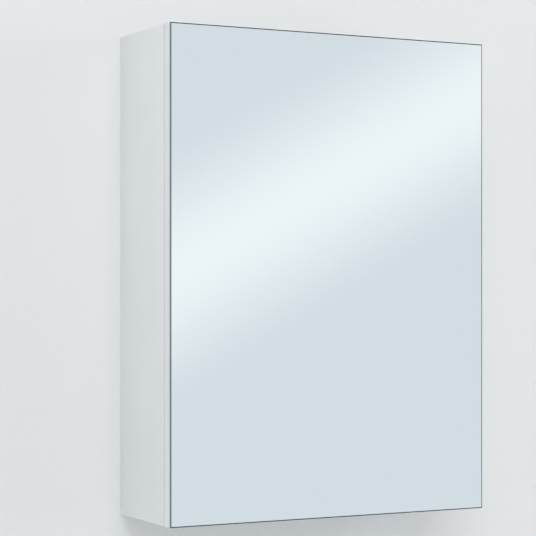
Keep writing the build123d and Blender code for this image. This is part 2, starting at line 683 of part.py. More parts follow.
    with BuildPart() as outer_link:
        for pivot in (PIVOT_A, PIVOT_C):
            with BuildSketch(level):
                with Locations(pivot):
                    Circle(LINK_R)
                with Locations(LINK_BOW):
                    Circle(LINK_BOW_R)
                make_hull()
            extrude(amount=OUTER_LINK_HALF, both=True)
        with BuildSketch(level):
            with Locations(PIVOT_A):
                Circle(LINK_R)
        extrude(amount=LINK_HUB_HALF, both=True)
        with BuildSketch(level):
            with Locations(PIVOT_A, PIVOT_C):
                Circle(PIN_R + RUNNING)
        extrude(amount=LINK_HUB_HALF, both=True, mode=Mode.SUBTRACT)
    save(outer_link, f"{name}_outer_link")

    with BuildPart() as inner_link:
        start = level.from_local_coords(Vector(*PIVOT_B))
        reach = level.from_local_coords(Vector(*PIVOT_D)) - start
        with BuildSketch(level):
            with Locations(PIVOT_B, PIVOT_D):
                Circle(LINK_R)
            make_hull()
        extrude(amount=FORK_HALF, both=True)
        with BuildSketch(Plane(start, x_dir=reach, z_dir=(0, 0, 1))):
            Rectangle(2 * (reach.length + 2 * LINK_R), 4 * LINK_R)
            with Locations((BRIDGE_START + BRIDGE_LENGTH / 2, BRIDGE / 2 - LINK_R)):
                Rectangle(BRIDGE_LENGTH, BRIDGE, mode=Mode.SUBTRACT)
        extrude(amount=FORK_INNER_HALF, both=True, mode=Mode.SUBTRACT)
        with BuildSketch(level):
            with Locations(PIVOT_B):
                Circle(PIN_R + RUNNING)
            with Locations(PIVOT_D):
                Circle(PIN_R + PRESS_PLAY)
        extrude(amount=FORK_HALF, both=True, mode=Mode.SUBTRACT)
    save(inner_link, f"{name}_inner_link")

    with BuildPart() as link_pins:
        for end in (-1, 1):
            with BuildSketch(level.offset(end * FORK_INNER_HALF)):
                with Locations(PIVOT_D):
                    Circle(PIN_R)
            extrude(amount=end * (PIN_D_HALF - FORK_INNER_HALF))
    save(link_pins, f"{name}_inner_link_pins")

    with BuildPart() as hinge_cup:
        with BuildSketch(rear_face):
            with Locations((CUP_U, 0)):
                Circle(CUP_R)
        extrude(amount=CUP_DEPTH)
        with BuildSketch(rear_face):
            with Locations((CUP_U, 0)):
                Circle(CUP_R + CUP_FLANGE_OVER)
            with Locations(*CUP_SCREW_PLACES):
                Circle(CUP_SCREW_BOSS_R)
            make_hull()
        extrude(amount=-CUP_FLANGE)
        with BuildSketch(rear_face.offset(-CUP_FLANGE)):
            with Locations((CUP_U, 0)):
                Circle(CUP_R - CUP_WALL)
            with Locations(
                *[(CUP_EAR_END - CUP_R, end * (EAR_START + CUP_R / 2)) for end in (-1, 1)]
            ):
                Rectangle(2 * CUP_R, CUP_R, mode=Mode.SUBTRACT)
        extrude(amount=CUP_FLANGE + CUP_DEPTH - CUP_FLOOR, mode=Mode.SUBTRACT)
        with BuildSketch(rear_face.offset(-CUP_FLANGE)):
            with Locations(*CUP_SCREW_PLACES):
                Circle(CUP_SCREW_R + SNUG)
        extrude(amount=CUP_FLANGE, mode=Mode.SUBTRACT)
        with BuildSketch(level):
            with Locations(PIVOT_C):
                Circle(PIN_R + PRESS_PLAY)
            with Locations((PIVOT_D[0] - D_TRAVEL[0] / 2, PIVOT_D[1] - D_TRAVEL[1] / 2)):
                RectangleRounded(
                    D_TRAVEL[0] + 2 * (PIN_R + PIN_POCKET),
                    D_TRAVEL[1] + 2 * (PIN_R + PIN_POCKET),
                    PIN_R,
                )
        extrude(amount=PIN_C_HALF, both=True, mode=Mode.SUBTRACT)
    save(hinge_cup, f"{name}_hinge_cup")

# Pins and screws of both hinges
with BuildPart() as arm_pins:
    for _, z in HINGES:
        with BuildSketch(hinge_plane(z)):
            with Locations(PIVOT_A, PIVOT_B):
                Circle(PIN_R)
        extrude(amount=ARM_HALF, both=True)
save(arm_pins, "hinge_arm_pins")

with BuildPart() as cup_pins:
    for _, z in HINGES:
        with BuildSketch(hinge_plane(z)):
            with Locations(PIVOT_C):
                Circle(PIN_R)
        extrude(amount=PIN_C_HALF, both=True)
save(cup_pins, "hinge_cup_pins")

with BuildPart() as plate_screws:
    for _, z in HINGES:
        wing = wing_plane(z)
        places = [(-FRONT_ROW, end * PLATE_SCREW_SPACING / 2) for end in (-1, 1)]
        with BuildSketch(wing.offset(PLATE_WING)):
            with Locations(*places):
                Circle(PLATE_SCREW_R)
        extrude(amount=-(PLATE_WING + PLATE_SCREW_LENGTH))
        with BuildSketch(wing.offset(PLATE_WING)):
            with Locations(*places):
                Circle(PLATE_SCREW_HEAD_R)
        extrude(amount=-(PLATE_SCREW_HEAD_R - PLATE_SCREW_R), taper=PLATE_SCREW_TAPER)
        with BuildSketch(wing.offset(PLATE_WING)):
            with Locations(*places):
                Rectangle(PLATE_SCREW_HEAD_R, RECESS_WIDTH)
                Rectangle(RECESS_WIDTH, PLATE_SCREW_HEAD_R)
        extrude(amount=-RECESS_DEPTH, mode=Mode.SUBTRACT)
save(plate_screws, "plate_screws")

for name, v, tip in (
    ("arm_fixing_screws", FIXING_SCREW_V, PLATE_RIB - ARM_SCREW_IN_RIB),
    ("side_adjusting_screws", SIDE_SCREW_V, PLATE_RIB + SEAT),
):
    with BuildPart() as arm_screws:
        for _, z in HINGES:
            wing = wing_plane(z)
            with BuildSketch(wing.offset(tip)):
                with Locations((v, 0)):
                    Circle(ARM_SCREW_R)
            extrude(amount=ARM_TOP - tip)
            with BuildSketch(wing.offset(ARM_TOP)):
                with Locations((v, 0)):
                    Circle(ARM_SCREW_HEAD_R)
            extrude(amount=ARM_SCREW_HEAD)
            with BuildSketch(wing.offset(ARM_TOP + ARM_SCREW_HEAD)):
                with Locations((v, 0)):
                    Rectangle(ARM_SCREW_HEAD_R, RECESS_WIDTH)
                    Rectangle(RECESS_WIDTH, ARM_SCREW_HEAD_R)
            extrude(amount=-RECESS_DEPTH, mode=Mode.SUBTRACT)
    save(arm_screws, name)

with BuildPart() as cup_screws:
    for _, z in HINGES:
        rear_face = door_plane(z)
        with BuildSketch(rear_face.offset(-CUP_FLANGE)):
            with Locations(*CUP_SCREW_PLACES):
                Circle(CUP_SCREW_R)
        extrude(amount=CUP_FLANGE + CUP_SCREW_LENGTH)
        with BuildSketch(rear_face.offset(-CUP_FLANGE)):
            with Locations(*CUP_SCREW_PLACES):
                Circle(CUP_SCREW_HEAD_R)
        extrude(amount=-CUP_SCREW_HEAD)
save(cup_screws, "cup_screws")
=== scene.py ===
import json
from math import radians

import bmesh
import bpy
from mathutils import Matrix, Vector

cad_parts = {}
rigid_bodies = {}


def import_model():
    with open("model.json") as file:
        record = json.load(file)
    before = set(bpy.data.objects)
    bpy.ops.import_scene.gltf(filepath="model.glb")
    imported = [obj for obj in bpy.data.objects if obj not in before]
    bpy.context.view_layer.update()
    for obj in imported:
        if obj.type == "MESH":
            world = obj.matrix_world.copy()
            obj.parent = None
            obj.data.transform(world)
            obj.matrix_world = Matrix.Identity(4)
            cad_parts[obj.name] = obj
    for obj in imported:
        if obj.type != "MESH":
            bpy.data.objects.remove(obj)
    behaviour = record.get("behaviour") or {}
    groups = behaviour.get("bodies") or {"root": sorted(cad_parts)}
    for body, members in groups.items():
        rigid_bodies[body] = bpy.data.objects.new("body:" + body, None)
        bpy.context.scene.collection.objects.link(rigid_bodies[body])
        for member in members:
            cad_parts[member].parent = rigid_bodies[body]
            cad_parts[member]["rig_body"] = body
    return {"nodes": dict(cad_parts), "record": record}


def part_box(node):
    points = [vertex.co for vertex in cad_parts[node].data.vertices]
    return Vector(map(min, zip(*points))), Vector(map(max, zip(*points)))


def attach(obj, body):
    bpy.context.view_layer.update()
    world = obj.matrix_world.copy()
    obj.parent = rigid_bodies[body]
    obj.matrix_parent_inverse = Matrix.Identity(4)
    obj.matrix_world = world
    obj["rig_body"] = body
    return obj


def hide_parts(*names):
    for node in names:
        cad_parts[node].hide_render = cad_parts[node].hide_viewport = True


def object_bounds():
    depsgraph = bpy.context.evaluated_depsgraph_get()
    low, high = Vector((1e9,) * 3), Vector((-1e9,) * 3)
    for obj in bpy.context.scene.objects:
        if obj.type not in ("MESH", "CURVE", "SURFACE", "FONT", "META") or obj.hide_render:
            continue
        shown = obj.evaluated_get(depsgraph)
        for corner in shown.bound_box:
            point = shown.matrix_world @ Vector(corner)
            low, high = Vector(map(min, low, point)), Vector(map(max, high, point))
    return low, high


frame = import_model()

bl_info = {
    "name": "Bathroom mirror cabinet",
    "version": (1, 0, 0),
    "blender": (4, 5, 0),
    "location": "View3D > Sidebar > Cabinet",
    "description": "Finishes a mirror cabinet: mirror, boards, glass shelves, hinges and hanging",
    "category": "Add Mesh",
}

CAD_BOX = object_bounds()
SLOTS = {sub["node"]: sub["material_slot"] for sub in frame["record"]["subparts"]}
GLASS_LOW, GLASS_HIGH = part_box("mirror_glass")
MM = 0.001

# Cleaning a CAD mesh before its edges are rounded
MERGE = 0.002 * MM  # points closer than this are one
FLAT = radians(0.4)  # faces that meet at less than this are one flat face
CORNER = radians(40)  # edges sharper than this are rounded

# Edges shorter than these are rims of holes and other small features, and stay as they are
BOARD_SHORTEST = 20 * MM
CAP_SHORTEST = 4 * MM
METAL_SHORTEST = 3 * MM
CAP_ROUND = 0.4 * MM  # rounding of the moulded hanger covers

# How squarely a face of the mirror looks ahead: 1 is straight, 0 is sideways
STRAIGHT = 0.999
ASLANT = 0.3

# Wall and floor, in metres
WALL_HALF = 1.5
WALL_TOP = 1.2
FLOOR_LEVEL = -1.2
FLOOR_HALF = 4
WALL_BEHIND = 0.3 * MM  # the wall stands this far behind the cabinet, so that no faces meet
WALL_LAP = 0.2 * MM  # the wall's opening is smaller than the cabinet by this much all round

# Soft lights: place and width in metres
LIGHTS = {
    "key": ((-0.7, -2.4, 1.0), 1.8),
    "left": ((-2.3, -0.9, 0.0), 1.4),
    "right": ((2.2, -1.4, -0.1), 1.4),
    "rear": ((0.4, 2.2, 0.6), 1.4),
}

# The room that gloss shows: a band of light that climbs by the slope for each 1 across
BAND_SLOPE = 0.532
BAND_LEVEL = -0.231
BAND_FADE = 0.086
AHEAD_LEAST = 0.05  # keeps the sums finite where a direction runs along the wall
ROOM_LIGHT = 0.48

# The camera, fitted to the cabinet's corners and to the mirror's outline in the photograph
CAMERA_PLACE = (-1.0096, -1.9402, -0.2251)
CAMERA_TURN = radians(-27.28)
CAMERA_LENS = 123.49
CAMERA_SENSOR = 36
CAMERA_SHIFT = (-0.0016, 0.0402)
CAMERA_NEAREST = 0.05


def linear(code):
    """An sRGB hex colour as linear red, green and blue."""
    shares = [int(code[place : place + 2], 16) / 255 for place in (0, 2, 4)]
    return tuple(s / 12.92 if s <= 0.04045 else ((s + 0.055) / 1.055) ** 2.4 for s in shares)


def per_metre(size_mm):
    """Scale of a pattern on Object coordinates whose features are this many millimetres across."""
    return 1 / (size_mm * MM)


def add(tree, kind, sockets=None, **settings):
    """Adds a node, sets its settings, and fills its sockets with values or links."""
    node = tree.nodes.new(kind)
    for name, value in settings.items():
        setattr(node, name, value)
    for name, value in (sockets or {}).items():
        if isinstance(value, bpy.types.NodeSocket):
            tree.links.new(value, node.inputs[name])
        else:
            node.inputs[name].default_value = value
    return node


def blank(name):
    """An empty material of that name and its node tree."""
    material = bpy.data.materials.new(name)
    material.use_nodes = True
    material.node_tree.nodes.clear()
    return material, material.node_tree


def show(tree, shader):
    """Sends a shader to the material's output."""
    add(tree, "ShaderNodeOutputMaterial", {"Surface": shader})


def silvered_mirror():
    """Float glass silvered on its back: a clean image, with the faint blue-green of the glass."""
    material, tree = blank("silvered float glass")
    place = add(tree, "ShaderNodeTexCoord").outputs["Object"]
    # Float glass has a very slight waviness, some 60 mm across, that only bends reflections.
    wave = add(tree, "ShaderNodeTexNoise", {"Vector": place, "Scale": per_metre(60), "Detail": 0.0})
    bump = add(tree, "ShaderNodeBump", {"Height": wave.outputs["Fac"], "Strength": 0.004, "Distance": 0.001})
    shader = add(
        tree,
        "ShaderNodeBsdfPrincipled",
        {
            "Base Color": (*linear("F7FAFA"), 1),
            "Metallic": 1.0,
            "Roughness": 0.0,
            "Normal": bump.outputs["Normal"],
        },
    )
    show(tree, shader.outputs["BSDF"])
    return material


def ground_arris():
    """The mirror's ground arris: a fine matt grey line, because the silver behind it is cut away."""
    material, tree = blank("ground arris of the mirror")
    place = add(tree, "ShaderNodeTexCoord").outputs["Object"]
    # Wheel marks some 1.5 mm apart.
    marks = add(tree, "ShaderNodeTexNoise", {"Vector": place, "Scale": per_metre(1.5), "Detail": 2.0})
    shade = add(tree, "ShaderNodeValToRGB", {"Fac": marks.outputs["Fac"]})
    shade.color_ramp.elements[0].color = (*linear("30373B"), 1)
    shade.color_ramp.elements[1].color = (*linear("454C51"), 1)
    # The wheel leaves the glass rough, so almost nothing mirrors in it.
    shader = add(
        tree,
        "ShaderNodeBsdfPrincipled",
        {"Base Color": shade.outputs["Color"], "Roughness": 0.7, "Specular IOR Level": 0.05},
    )
    show(tree, shader.outputs["BSDF"])
    return material


def polished_edge_with_painted_light():
    """The mirror's flat edge, polished after grinding: the glass's own green-grey, made pale as painted light
    that the edge catches, with a soft shine.
    """
    material, tree = blank("polished glass edge")
    place = add(tree, "ShaderNodeTexCoord").outputs["Object"]
    streaks = add(tree, "ShaderNodeTexNoise", {"Vector": place, "Scale": per_metre(4), "Detail": 3.0})
    shade = add(tree, "ShaderNodeValToRGB", {"Fac": streaks.outputs["Fac"]})
    # Painted light: the green-grey is the glass's own, and the paleness of both colours stands for light that
    # the edge catches.
    shade.color_ramp.elements[0].color = (*linear("C3CCCB"), 1)
    shade.color_ramp.elements[1].color = (*linear("D6DEDE"), 1)
    shader = add(tree, "ShaderNodeBsdfPrincipled", {"Base Color": shade.outputs["Color"], "Roughness": 0.2})
    show(tree, shader.outputs["BSDF"])
    return material


def white_melamine():
    """Chipboard faced and edged in white melamine: a satin sheen broken by a fine pressed grain."""
    material, tree = blank("white melamine on chipboard")
    place = add(tree, "ShaderNodeTexCoord").outputs["Object"]
    # The pressing plate leaves pearls about 0.6 mm across, and the board under it waves over 90 mm.
    pearl = add(tree, "ShaderNodeTexNoise", {"Vector": place, "Scale": per_metre(0.6), "Detail": 2.0})
    wave = add(tree, "ShaderNodeTexNoise", {"Vector": place, "Scale": per_metre(90), "Detail": 1.0})
    tone = add(tree, "ShaderNodeValToRGB", {"Fac": wave.outputs["Fac"]})
    tone.color_ramp.elements[0].color = (*bpy.context.scene.cabinet_boards.colour, 1)
    tone.color_ramp.elements[1].color = (*linear("E9ECEE"), 1)
    sheen = add(
        tree,
        "ShaderNodeMapRange",
        {"Value": pearl.outputs["Fac"], "To Min": 0.34, "To Max": 0.46},
    )
    bump = add(tree, "ShaderNodeBump", {"Height": pearl.outputs["Fac"], "Strength": 0.06, "Distance": 0.0001})
    shader = add(
        tree,
        "ShaderNodeBsdfPrincipled",
        {
            "Base Color": tone.outputs["Color"],
            "Roughness": sheen.outputs["Result"],
            "Normal": bump.outputs["Normal"],
        },
    )
    show(tree, shader.outputs["BSDF"])
    return material


def printed_hardboard():
    """Thin hardboard with a white printed face: flatter than melamine, with its fibres just showing."""
    material, tree = blank("white printed hardboard")
    place = add(tree, "ShaderNodeTexCoord").outputs["Object"]
    stretched = add(tree, "ShaderNodeMapping", {"Vector": place, "Scale": (1.0, 1.0, 0.25)})
    # Fibres about 1.2 mm wide and four times as long.
    fibre = add(
        tree,
        "ShaderNodeTexNoise",
        {"Vector": stretched.outputs["Vector"], "Scale": per_metre(1.2), "Detail": 4.0},
    )
    tone = add(tree, "ShaderNodeValToRGB", {"Fac": fibre.outputs["Fac"]})
    tone.color_ramp.elements[0].color = (*linear("D6D7D6"), 1)
    tone.color_ramp.elements[1].color = (*linear("E6E7E6"), 1)
    bump = add(tree, "ShaderNodeBump", {"Height": fibre.outputs["Fac"], "Strength": 0.12, "Distance": 0.0001})
    shader = add(
        tree,
        "ShaderNodeBsdfPrincipled",
        {"Base Color": tone.outputs["Color"], "Roughness": 0.62, "Normal": bump.outputs["Normal"]},
    )
    show(tree, shader.outputs["BSDF"])
    return material


def turned_beech():
    """Beech dowel rod: pale brown, with darker flecks along the grain and pressed flutes."""
    material, tree = blank("beech dowel rod")
    place = add(tree, "ShaderNodeTexCoord").outputs["Object"]
    # Growth rings some 1.5 mm apart, drawn out along the dowel.
    along = add(tree, "ShaderNodeMapping", {"Vector": place, "Scale": (0.1, 1.0, 1.0)})
    rings = add(
        tree,
        "ShaderNodeTexNoise",
        {"Vector": along.outputs["Vector"], "Scale": per_metre(1.5), "Detail": 4.0},
    )
    tone = add(tree, "ShaderNodeValToRGB", {"Fac": rings.outputs["Fac"]})
    tone.color_ramp.elements[0].color = (*linear("B98C5E"), 1)
    tone.color_ramp.elements[1].color = (*linear("DDB98C"), 1)
    shader = add(tree, "ShaderNodeBsdfPrincipled", {"Base Color": tone.outputs["Color"], "Roughness": 0.6})
    show(tree, shader.outputs["BSDF"])
    return material


def clear_float_glass():
    """Clear float glass: almost colourless through its face, and green through its ground edge."""
    material, tree = blank("clear float glass")
    place = add(tree, "ShaderNodeTexCoord").outputs["Object"]
    wave = add(tree, "ShaderNodeTexNoise", {"Vector": place, "Scale": per_metre(60), "Detail": 0.0})
    bump = add(tree, "ShaderNodeBump", {"Height": wave.outputs["Fac"], "Strength": 0.004, "Distance": 0.001})
    shader = add(
        tree,
        "ShaderNodeBsdfPrincipled",
        {
            "Base Color": (*linear("E4F4EE"), 1),
            "Roughness": 0.0,
            "IOR": 1.52,
            "Transmission Weight": 1.0,
            "Normal": bump.outputs["Normal"],
        },
    )
    show(tree, shader.outputs["BSDF"])
    return material


def nickel_plate():
    """Bright nickel on stamped steel: warm and shiny, with faint marks from the barrel it is plated in."""
    material, tree = blank("nickel-plated steel")
    place = add(tree, "ShaderNodeTexCoord").outputs["Object"]
    # Barrel marks some 0.8 mm across.
    marks = add(tree, "ShaderNodeTexNoise", {"Vector": place, "Scale": per_metre(0.8), "Detail": 3.0})
    sheen = add(
        tree,
        "ShaderNodeMapRange",
        {"Value": marks.outputs["Fac"], "To Min": 0.14, "To Max": 0.26},
    )
    bump = add(tree, "ShaderNodeBump", {"Height": marks.outputs["Fac"], "Strength": 0.03, "Distance": 0.0001})
    shader = add(
        tree,
        "ShaderNodeBsdfPrincipled",
        {
            "Base Color": (*linear("D3D1CC"), 1),
            "Metallic": 1.0,
            "Roughness": sheen.outputs["Result"],
            "Normal": bump.outputs["Normal"],
        },
    )
    show(tree, shader.outputs["BSDF"])
    return material


def cast_zinc():
    """Zinc straight from the die: dull grey, mottled where the metal cooled."""
    material, tree = blank("die-cast zinc")
    place = add(tree, "ShaderNodeTexCoord").outputs["Object"]
    # Flow marks about 3 mm across.
    flow = add(tree, "ShaderNodeTexNoise", {"Vector": place, "Scale": per_metre(3), "Detail": 5.0})
    tone = add(tree, "ShaderNodeValToRGB", {"Fac": flow.outputs["Fac"]})
    tone.color_ramp.elements[0].color = (*linear("9A9DA0"), 1)
    tone.color_ramp.elements[1].color = (*linear("B9BCBE"), 1)
    bump = add(tree, "ShaderNodeBump", {"Height": flow.outputs["Fac"], "Strength": 0.1, "Distance": 0.0001})
    shader = add(
        tree,
        "ShaderNodeBsdfPrincipled",
        {
            "Base Color": tone.outputs["Color"],
            "Metallic": 1.0,
            "Roughness": 0.45,
            "Normal": bump.outputs["Normal"],
        },
    )
    show(tree, shader.outputs["BSDF"])
    return material


def drawn_steel():
    """Bright drawn steel for pins and bolts: fine lines along the wire."""
    material, tree = blank("bright drawn steel")
    place = add(tree, "ShaderNodeTexCoord").outputs["Object"]
    # Draw lines some 0.3 mm apart, long along the pins.
    along = add(tree, "ShaderNodeMapping", {"Vector": place, "Scale": (1.0, 1.0, 0.05)})
    lines = add(
        tree,
        "ShaderNodeTexNoise",
        {"Vector": along.outputs["Vector"], "Scale": per_metre(0.3), "Detail": 2.0},
    )
    sheen = add(
        tree,
        "ShaderNodeMapRange",
        {"Value": lines.outputs["Fac"], "To Min": 0.22, "To Max": 0.4},
    )
    shader = add(
        tree,
        "ShaderNodeBsdfPrincipled",
        {"Base Color": (*linear("B4B5B6"), 1), "Metallic": 1.0, "Roughness": sheen.outputs["Result"]},
    )
    show(tree, shader.outputs["BSDF"])
    return material


def galvanised_strip():
    """Hot-dip galvanised strip: zinc crystals some 7 mm across, each with its own shine."""
    material, tree = blank("galvanised steel")
    place = add(tree, "ShaderNodeTexCoord").outputs["Object"]
    spangle = add(tree, "ShaderNodeTexVoronoi", {"Vector": place, "Scale": per_metre(7)})
    grey = add(tree, "ShaderNodeRGBToBW", {"Color": spangle.outputs["Color"]})
    tone = add(tree, "ShaderNodeValToRGB", {"Fac": grey.outputs["Val"]})
    tone.color_ramp.elements[0].color = (*linear("A2A4A5"), 1)
    tone.color_ramp.elements[1].color = (*linear("C4C6C7"), 1)
    sheen = add(
        tree,
        "ShaderNodeMapRange",
        {"Value": grey.outputs["Val"], "To Min": 0.32, "To Max": 0.5},
    )
    shader = add(
        tree,
        "ShaderNodeBsdfPrincipled",
        {"Base Color": tone.outputs["Color"], "Metallic": 1.0, "Roughness": sheen.outputs["Result"]},
    )
    show(tree, shader.outputs["BSDF"])
    return material


def moulded_abs():
    """White moulded ABS: a fine spark-eroded grain that keeps its shine soft."""
    material, tree = blank("moulded white ABS")
    place = add(tree, "ShaderNodeTexCoord").outputs["Object"]
    # Eroded grain about 0.4 mm across.
    grain = add(tree, "ShaderNodeTexNoise", {"Vector": place, "Scale": per_metre(0.4), "Detail": 2.0})
    tone = add(tree, "ShaderNodeValToRGB", {"Fac": grain.outputs["Fac"]})
    tone.color_ramp.elements[0].color = (*linear("DCDDDB"), 1)
    tone.color_ramp.elements[1].color = (*linear("E4E5E3"), 1)
    bump = add(tree, "ShaderNodeBump", {"Height": grain.outputs["Fac"], "Strength": 0.15, "Distance": 0.0001})
    shader = add(
        tree,
        "ShaderNodeBsdfPrincipled",
        {"Base Color": tone.outputs["Color"], "Roughness": 0.42, "Normal": bump.outputs["Normal"]},
    )
    show(tree, shader.outputs["BSDF"])
    return material


def soft_clear_plastic():
    """Clear cast polyurethane: glossy, slightly milky, and soft enough to hold dust."""
    material, tree = blank("clear soft polyurethane")
    place = add(tree, "ShaderNodeTexCoord").outputs["Object"]
    # Dust and handling marks about 2 mm across.
    dust = add(tree, "ShaderNodeTexNoise", {"Vector": place, "Scale": per_metre(2), "Detail": 3.0})
    sheen = add(
        tree,
        "ShaderNodeMapRange",
        {"Value": dust.outputs["Fac"], "To Min": 0.12, "To Max": 0.3},
    )
    shader = add(
        tree,
        "ShaderNodeBsdfPrincipled",
        {
            "Base Color": (*linear("EEF1F1"), 1),
            "Roughness": sheen.outputs["Result"],
            "IOR": 1.49,
            "Transmission Weight": 0.4,
        },
    )
    show(tree, shader.outputs["BSDF"])
    return material


FINISHES = {
    "mirror": silvered_mirror,
    "white_board": white_melamine,
    "back_board": printed_hardboard,
    "dowel_wood": turned_beech,
    "shelf_glass": clear_float_glass,
    "nickel": nickel_plate,
    "zinc": cast_zinc,
    "steel": drawn_steel,
    "galvanised": galvanised_strip,
    "white_plastic": moulded_abs,
    "clear_plastic": soft_clear_plastic,
}
made = {}


def finish_of(slot):
    """The material of a slot, made once and shared by its pieces."""
    if slot not in made:
        made[slot] = FINISHES[slot]()
    return made[slot]


def dress(*nodes):
    """Gives CAD nodes the material of their slot."""
    for node in nodes:
        mesh = frame["nodes"][node].data
        mesh.materials.clear()
        mesh.materials.append(finish_of(SLOTS[node]))


def stand_for(shape, title, node, *materials, sharp=30):
    """Makes a bmesh the shown piece for a CAD node, on its body; edges above the sharp angle stay crisp."""
    mesh = bpy.data.meshes.new(title)
    shape.to_mesh(mesh)
    shape.free()
    for name in ("custom_normal", "UVMap"):
        if name in mesh.attributes:
            mesh.attributes.remove(mesh.attributes[name])
    for material in materials:
        mesh.materials.append(material)
    mesh.shade_smooth()
    mesh.set_sharp_from_angle(angle=radians(sharp))
    piece = bpy.data.objects.new(title, mesh)
    bpy.context.scene.collection.objects.link(piece)
    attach(piece, frame["nodes"][node]["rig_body"])
    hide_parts(node)
    return piece


def soften(node, name, radius, shortest):
    """A copy of a CAD node whose outer edges, above a shortest length, are rounded as made parts are."""
    shape = bmesh.new()
    shape.from_mesh(frame["nodes"][node].data)
    bmesh.ops.remove_doubles(shape, verts=shape.verts, dist=MERGE)
    bmesh.ops.dissolve_limit(
        shape, angle_limit=FLAT, use_dissolve_boundaries=False, verts=shape.verts, edges=shape.edges
    )
    edges = [
        edge
        for edge in shape.edges
        if len(edge.link_faces) == 2
        and edge.is_convex
        and edge.calc_face_angle() > CORNER
        and edge.calc_length() > shortest
    ]
    bmesh.ops.bevel(
        shape,
        geom=edges,
        offset=radius,
        offset_type="OFFSET",
        affect="EDGES",
        segments=2,
        profile=0.5,
        clamp_overlap=True,
        material=-1,
    )
    return stand_for(shape, name, node, finish_of(SLOTS[node]))


class CabinetMirror(bpy.types.PropertyGroup):
    arris: bpy.props.FloatProperty(
        name="Arris width",
        description="Width of the ground arris on the mirror's front",
        default=1.15 * MM,
        min=0.2 * MM,
        max=3 * MM,
        unit="LENGTH",
    )
    arris_depth: bpy.props.FloatProperty(
        name="Arris depth",
        description="How far the ground arris runs down the mirror's edge",
        default=0.4 * MM,
        min=0.1 * MM,
        max=3 * MM,
        unit="LENGTH",
    )
    plain: bpy.props.FloatVectorProperty(
        name="Room colour",
        description="Colour of the room that the mirror shows",
        default=linear("D9E1E8"),
        size=3,
        subtype="COLOR",
    )
    bright: bpy.props.FloatVectorProperty(
        name="Light band",
        description="Colour of the soft band of light that the mirror shows",
        default=linear("F3F9FC"),
        size=3,
        subtype="COLOR",
    )


class CabinetBoards(bpy.types.PropertyGroup):
    colour: bpy.props.FloatVectorProperty(
        name="Colour",
        description="Colour of the melamine",
        default=linear("E5E8EA"),
        size=3,
        subtype="COLOR",
    )
    edge: bpy.props.FloatProperty(
        name="Edge radius",
        description="Rounding of the edge banding on the boards",
        default=0.5 * MM,
        min=0.1 * MM,
        max=2 * MM,
        unit="LENGTH",
    )


class CabinetMetal(bpy.types.PropertyGroup):
    edge: bpy.props.FloatProperty(
        name="Edge radius",
        description="Rounding that stamping and barrel plating leave on the hinge parts",
        default=0.2 * MM,
        min=0.05 * MM,
        max=0.5 * MM,
        unit="LENGTH",
    )


class CabinetStage(bpy.types.PropertyGroup):
    wall: bpy.props.FloatVectorProperty(
        name="Wall",
        description="Colour of the wall behind the cabinet",
        default=linear("EBECEC"),
        size=3,
        subtype="COLOR",
    )
    floor: bpy.props.FloatVectorProperty(
        name="Floor",
        description="Colour of the floor",
        default=linear("E6E8E9"),
        size=3,
        subtype="COLOR",
    )
    key: bpy.props.FloatProperty(
        name="Key light",
        description="Power of the large soft light in front",
        default=30.0,
        min=0,
        unit="POWER",
    )
    left: bpy.props.FloatProperty(
        name="Left light",
        description="Power of the soft light on the left",
        default=7.1,
        min=0,
        unit="POWER",
    )
    right: bpy.props.FloatProperty(
        name="Right light",
        description="Power of the soft light on the right",
        default=14.5,
        min=0,
        unit="POWER",
    )
    rear: bpy.props.FloatProperty(
        name="Rear light",
        description="Power of the light behind the wall",
        default=25.0,
        min=0,
        unit="POWER",
    )


class CABINET_OT_mirror(bpy.types.Operator):
    """Mirror pane with a silvered face, a ground arris and a polished edge"""

    bl_idname = "cabinet.mirror"
    bl_label = "Mirror"

    def execute(self, context):
        looks = context.scene.cabinet_mirror
        middle = (GLASS_LOW + GLASS_HIGH) / 2
        pane = bmesh.new()
        bmesh.ops.create_cube(pane, size=1)
        bmesh.ops.scale(pane, vec=GLASS_HIGH - GLASS_LOW, verts=pane.verts)
        bmesh.ops.translate(pane, vec=middle, verts=pane.verts)
        pane.normal_update()
        front = min(pane.faces, key=lambda face: face.calc_center_median().y)
        bmesh.ops.bevel(
            pane,
            geom=list(front.edges),
            offset=looks.arris,
            offset_type="OFFSET",
            affect="EDGES",
            segments=1,
            profile=0.5,
            material=-1,
        )
        # The bevel is as deep as it is wide, so its rear edge is brought forward.
        for vert in pane.verts:
            if GLASS_LOW.y + looks.arris / 2 < vert.co.y < middle.y:
                vert.co.y = GLASS_LOW.y + looks.arris_depth
        pane.normal_update()
        for face in pane.faces:
            # In this order: silvered face, ground arris, polished edge and back.
            ahead = -face.normal.y
            face.material_index = 0 if ahead > STRAIGHT else 1 if ahead > ASLANT else 2
        faces = finish_of("mirror"), ground_arris(), polished_edge_with_painted_light()
        stand_for(pane, "mirror_pane", "mirror_glass", *faces, sharp=5)
        return {"FINISHED"}


class CABINET_OT_carcass(bpy.types.Operator):
    """Sides, top and bottom with rounded edge banding, the back board and the joints"""

    bl_idname = "cabinet.carcass"
    bl_label = "Carcass"

    def execute(self, context):
        radius = context.scene.cabinet_boards.edge
        for node in ("side_panel_left", "side_panel_right", "top_panel", "bottom_panel"):
            soften(node, f"{node}_board", radius, BOARD_SHORTEST)
        dress("back_panel", "dowels", "cam_bolts", "cam_locks", "cam_covers")
        return {"FINISHED"}


class CABINET_OT_door(bpy.types.Operator):
    """Carrier board behind the mirror and its clear buffers"""

    bl_idname = "cabinet.door"
    bl_label = "Door board"

    def execute(self, context):
        dress("door_carrier", "door_buffers")
        return {"FINISHED"}


class CABINET_OT_shelves(bpy.types.Operator):
    """Glass shelves, their pins and clear sleeves"""

    bl_idname = "cabinet.shelves"
    bl_label = "Shelves"

    def execute(self, context):
        dress("shelf_lower", "shelf_upper", "shelf_pins", "shelf_pin_sleeves")
        return {"FINISHED"}


